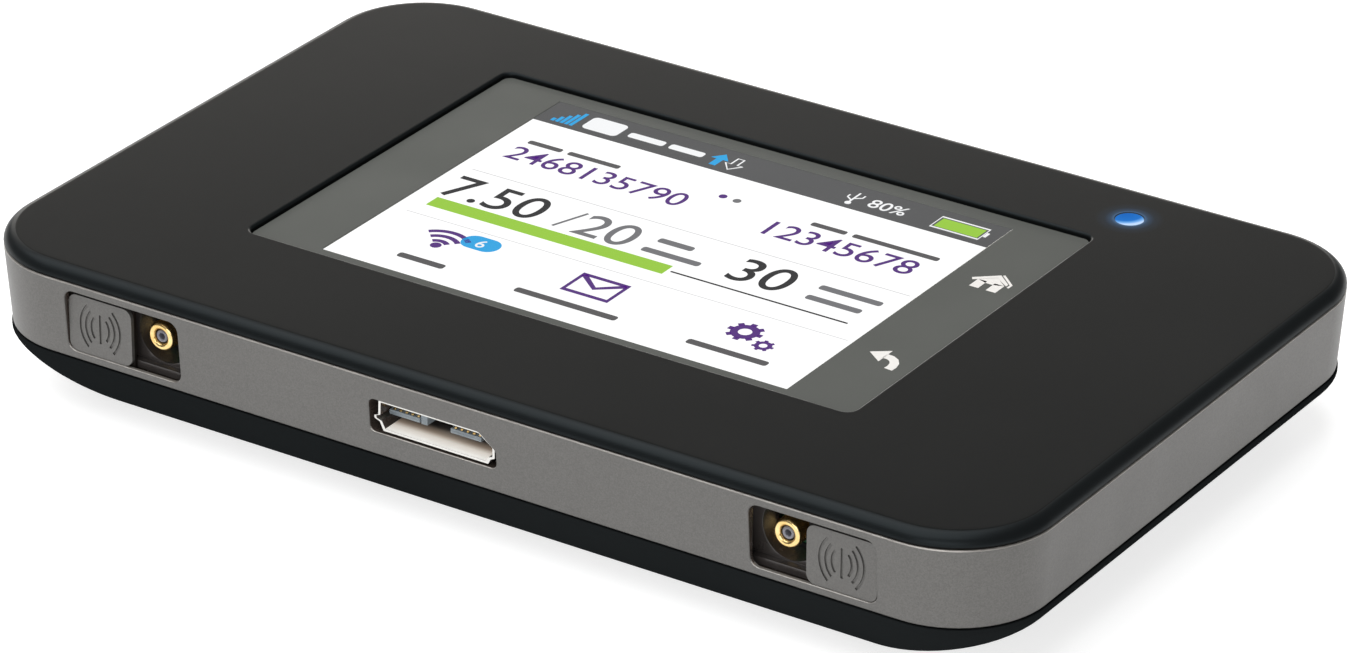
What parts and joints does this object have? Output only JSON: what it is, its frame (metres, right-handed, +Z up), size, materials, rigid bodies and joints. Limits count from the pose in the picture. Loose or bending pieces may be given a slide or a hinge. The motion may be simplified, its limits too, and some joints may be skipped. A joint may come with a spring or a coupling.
{
  "type": "mobile hotspot",
  "caption": "Pocket mobile hotspot with a small touch display, a status light, doored antenna jacks, a wide micro connector and a lift-off battery cover.",
  "frame": {"origin": "middle of the case in plan, at the face it rests on", "axes": "+X along the long side, to the right when the ports face the viewer; -Y out of the port face; +Z up, out of the display"},
  "size_m": [0.11, 0.069, 0.0155],
  "materials": {
    "soft_cover": "soft-touch black",
    "band_paint": "satin fine-metallic grey paint over moulded plastic",
    "cover_glass": "polished, grey printed border",
    "tape": "black adhesive foam",
    "display": "lit display panel",
    "light_guide": "clear acrylic",
    "steel": "tin-plated pressed sheet",
    "flex_film": "amber polyimide film",
    "connector_resin": "ivory moulded resin",
    "lens": "frosted lens, lit blue",
    "dark_resin": "fine-grained black resin",
    "port_resin": "satin brown-black resin",
    "gold_plate": "polished gold plating",
    "insulator": "grey fluoropolymer",
    "board": "green solder mask on glass epoxy",
    "components": "sintered ceramic with tinned ends",
    "battery_wrap": "black film wrap",
    "card": "white card stock plastic",
    "copper_foil": "copper foil",
    "key_resin": "satin black",
    "reset_resin": "red acetal",
    "screw": "black-zinc plated"
  },
  "bodies": {
    "case": {"top_cover": "soft_cover", "touch_glass": "cover_glass", "glass_adhesive": "tape", "lcd_panel": "display", "light_guide": "light_guide", "lcd_frame": "steel", "display_flex": "flex_film", "touch_flex": "flex_film", "flex_connectors": "connector_resin", "led_lens": "lens", "status_led": "connector_resin", "side_band": "band_paint", "chassis": "dark_resin", "left_port_well": "port_resin", "right_port_well": "port_resin", "left_jack_barrel": "gold_plate", "left_jack_insulator": "insulator", "left_jack_contact": "gold_plate", "right_jack_barrel": "gold_plate", "right_jack_insulator": "insulator", "right_jack_contact": "gold_plate", "usb_shell": "steel", "usb_tongue": "dark_resin", "usb_contacts": "gold_plate", "main_board": "board", "modem_shield": "steel", "radio_shield": "steel", "power_shield": "steel", "modem_chip": "dark_resin", "memory_chip": "dark_resin", "wifi_chip": "dark_resin", "power_chip": "dark_resin", "board_components": "components", "battery_connector": "dark_resin", "battery_springs": "gold_plate", "sim_holder": "steel", "sim_contacts": "gold_plate", "main_antenna": "copper_foil", "diversity_antenna": "copper_foil", "wifi_antenna_left": "copper_foil", "wifi_antenna_right": "copper_foil", "antenna_springs": "gold_plate", "power_switch": "connector_resin", "reset_switch": "dark_resin", "case_screws": "screw"},
    "left_door": {"left_port_door": "band_paint"},
    "right_door": {"right_port_door": "band_paint"},
    "power_key": {"power_button": "key_resin"},
    "reset_key": {"reset_button": "reset_resin"},
    "cover": {"battery_cover": "soft_cover"},
    "battery_pack": {"battery": "battery_wrap", "battery_terminals": "gold_plate"},
    "card": {"sim_card": "card"}
  },
  "joints": [
    {"name": "left_door_slide", "type": "slide", "parent": "case", "child": "left_door", "axis": [1, 0, 0], "range_m": [0, 0.0054]},
    {"name": "right_door_slide", "type": "slide", "parent": "case", "child": "right_door", "axis": [-1, 0, 0], "range_m": [0, 0.0054]},
    {"name": "power_press", "type": "slide", "parent": "case", "child": "power_key", "axis": [0, -1, 0], "range_m": [0, 0.00035], "stiffness_N_per_m": 2000},
    {"name": "reset_press", "type": "slide", "parent": "case", "child": "reset_key", "axis": [0, 0, 1], "range_m": [0, 0.00025], "stiffness_N_per_m": 2000},
    {"name": "cover_removal", "type": "slide", "parent": "case", "child": "cover", "axis": [0, 0, -1], "range_m": [0, 0.04]},
    {"name": "battery_removal", "type": "slide", "parent": "case", "child": "battery_pack", "axis": [0, 0, -1], "range_m": [0, 0.02]},
    {"name": "card_slide", "type": "slide", "parent": "case", "child": "card", "axis": [0, 1, 0], "range_m": [0, 0.01]}
  ],
  "couplings": [
    {"joint": "battery_removal", "follows": "cover_removal", "ratio": 0.5}
  ]
}
